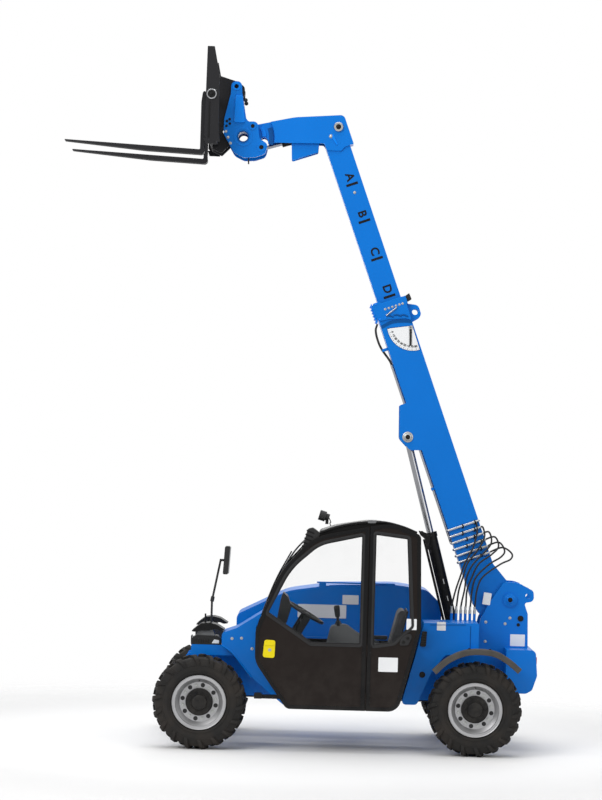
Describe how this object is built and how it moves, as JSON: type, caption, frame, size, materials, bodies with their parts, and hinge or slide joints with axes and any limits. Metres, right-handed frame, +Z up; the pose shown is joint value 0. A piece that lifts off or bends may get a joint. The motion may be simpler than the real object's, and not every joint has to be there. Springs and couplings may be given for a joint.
{
  "type": "compact telehandler",
  "caption": "Compact telehandler with a side cab, raised telescopic boom, pallet forks, steered wheels, opening door and engine hood.",
  "frame": {"origin": "on the floor, under the middle of the whole machine's box with the boom raised as stored", "axes": "+Z up, the machine faces -Y, +X is its left side with the cab"},
  "size_m": [1.81, 4.1128, 5.8812],
  "materials": {
    "blue_paint": "gloss",
    "black_paint": "satin",
    "brown_paint": "satin",
    "charcoal_paint": "matte",
    "black_iron": "satin",
    "rim_silver": "satin",
    "bright_steel": "polished",
    "glass": "clear",
    "tyre_rubber": "worn",
    "fender_rubber": "matte",
    "seat_cover": "woven",
    "hose_rubber": "satin"
  },
  "bodies": {
    "chassis": {"cab_frame": "black_paint", "cab_glass": "glass", "cab_quarter": "brown_paint", "cab_roof": "black_paint", "cab_tub": "brown_paint", "counterweight": "blue_paint", "cross_members": "blue_paint", "dash": "black_paint", "drive_shaft": "black_iron", "engine_block": "black_iron", "engine_pod": "blue_paint", "frame_pins": "bright_steel", "frame_plates": "blue_paint", "front_axle": "black_iron", "front_body": "blue_paint", "headlamps": "black_iron", "hoses": "hose_rubber", "mirror": "black_iron", "rear_axle": "black_iron", "rear_fenders": "fender_rubber", "seat": "seat_cover", "side_tanks": "blue_paint", "work_light": "black_iron"},
    "wheel_front_left": {"tyre_front_left": "tyre_rubber", "rim_front_left": "rim_silver"},
    "knuckle_front_left": {"knuckle_front_left": "black_iron"},
    "wheel_front_right": {"tyre_front_right": "tyre_rubber", "rim_front_right": "rim_silver"},
    "knuckle_front_right": {"knuckle_front_right": "black_iron"},
    "wheel_rear_left": {"tyre_rear_left": "tyre_rubber", "rim_rear_left": "rim_silver"},
    "knuckle_rear_left": {"knuckle_rear_left": "black_iron"},
    "wheel_rear_right": {"tyre_rear_right": "tyre_rubber", "rim_rear_right": "rim_silver"},
    "knuckle_rear_right": {"knuckle_rear_right": "black_iron"},
    "door": {"cab_door": "brown_paint", "door_glass": "glass"},
    "hood": {"engine_hood": "blue_paint"},
    "steering_wheel": {"steering_wheel": "black_paint"},
    "boom_outer": {"boom_sides": "blue_paint", "boom_cross_plates": "blue_paint", "boom_collar": "blue_paint", "wear_pads": "black_iron", "boom_pipes": "bright_steel"},
    "boom_inner": {"boom_inner": "blue_paint", "gooseneck": "blue_paint"},
    "fork_head": {"coupler": "blue_paint", "fork_carriage": "charcoal_paint", "forks": "charcoal_paint"},
    "lift_barrel": {"lift_barrel": "black_iron"},
    "lift_rod": {"lift_rod": "bright_steel"},
    "tilt_barrel": {"tilt_barrel": "black_iron"},
    "tilt_rod": {"tilt_rod": "bright_steel"}
  },
  "joints": [
    {"name": "boom_lift", "type": "hinge", "parent": "chassis", "child": "boom_outer", "pos_m": [0, 1.836, 1.265], "axis": [-1, 0, 0], "range_deg": [-73, 0]},
    {"name": "boom_extension", "type": "slide", "parent": "boom_outer", "child": "boom_inner", "axis": [0, -0.342, 0.9397], "range_m": [-1.3, 0.75]},
    {"name": "fork_tilt", "type": "hinge", "parent": "boom_inner", "child": "fork_head", "pos_m": [0, -0.54941, 5.16111], "axis": [1, 0, 0], "range_deg": [-85, 20]},
    {"name": "lift_barrel_swing", "type": "hinge", "parent": "chassis", "child": "lift_barrel", "pos_m": [0, 1.423, 0.798], "axis": [-1, 0, 0], "range_deg": [-82, 1]},
    {"name": "lift_rod_slide", "type": "slide", "parent": "lift_barrel", "child": "lift_rod", "axis": [0, -0.26, 0.9656], "range_m": [-0.75, 0.01]},
    {"name": "tilt_barrel_swing", "type": "hinge", "parent": "boom_inner", "child": "tilt_barrel", "pos_m": [0, 0.2656, 5.27211], "axis": [1, 0, 0], "range_deg": [-5, 5]},
    {"name": "tilt_rod_slide", "type": "slide", "parent": "tilt_barrel", "child": "tilt_rod", "axis": [0, -0.9571, -0.2899], "range_m": [-0.07, 0.27]},
    {"name": "steer_front_left", "type": "hinge", "parent": "chassis", "child": "knuckle_front_left", "pos_m": [0.66, -0.76, 0.3875], "axis": [0, 0, 1], "range_deg": [-30, 30]},
    {"name": "roll_front_left", "type": "hinge", "parent": "knuckle_front_left", "child": "wheel_front_left", "pos_m": [0.773, -0.76, 0.3875], "axis": [1, 0, 0], "continuous": true},
    {"name": "steer_front_right", "type": "hinge", "parent": "chassis", "child": "knuckle_front_right", "pos_m": [-0.66, -0.76, 0.3875], "axis": [0, 0, 1], "range_deg": [-30, 30]},
    {"name": "roll_front_right", "type": "hinge", "parent": "knuckle_front_right", "child": "wheel_front_right", "pos_m": [-0.773, -0.76, 0.3875], "axis": [1, 0, 0], "continuous": true},
    {"name": "steer_rear_left", "type": "hinge", "parent": "chassis", "child": "knuckle_rear_left", "pos_m": [0.66, 1.517, 0.3875], "axis": [0, 0, 1], "range_deg": [-30, 30]},
    {"name": "roll_rear_left", "type": "hinge", "parent": "knuckle_rear_left", "child": "wheel_rear_left", "pos_m": [0.773, 1.517, 0.3875], "axis": [1, 0, 0], "continuous": true},
    {"name": "steer_rear_right", "type": "hinge", "parent": "chassis", "child": "knuckle_rear_right", "pos_m": [-0.66, 1.517, 0.3875], "axis": [0, 0, 1], "range_deg": [-30, 30]},
    {"name": "roll_rear_right", "type": "hinge", "parent": "knuckle_rear_right", "child": "wheel_rear_right", "pos_m": [-0.773, 1.517, 0.3875], "axis": [1, 0, 0], "continuous": true},
    {"name": "door_swing", "type": "hinge", "parent": "chassis", "child": "door", "pos_m": [0.874, 0.6125, 1], "axis": [0, 0, 1], "range_deg": [0, 100]},
    {"name": "hood_lift", "type": "hinge", "parent": "chassis", "child": "hood", "pos_m": [-0.207, 0.4, 1.35], "axis": [0, 1, 0], "range_deg": [0, 60]},
    {"name": "steering_wheel_turn", "type": "hinge", "parent": "chassis", "child": "steering_wheel", "pos_m": [0.53, 0.1, 1.15], "axis": [0, 0.5, 0.866], "continuous": true}
  ],
  "couplings": [
    {"joint": "lift_barrel_swing", "follows": "boom_lift", "ratio": 1.0269},
    {"joint": "lift_rod_slide", "follows": "boom_lift", "m_per_rad": 0.58075},
    {"joint": "tilt_barrel_swing", "follows": "fork_tilt", "ratio": -0.00473},
    {"joint": "tilt_rod_slide", "follows": "fork_tilt", "m_per_rad": -0.16468},
    {"joint": "steer_front_right", "follows": "steer_front_left", "ratio": 1},
    {"joint": "steer_rear_right", "follows": "steer_rear_left", "ratio": 1}
  ]
}
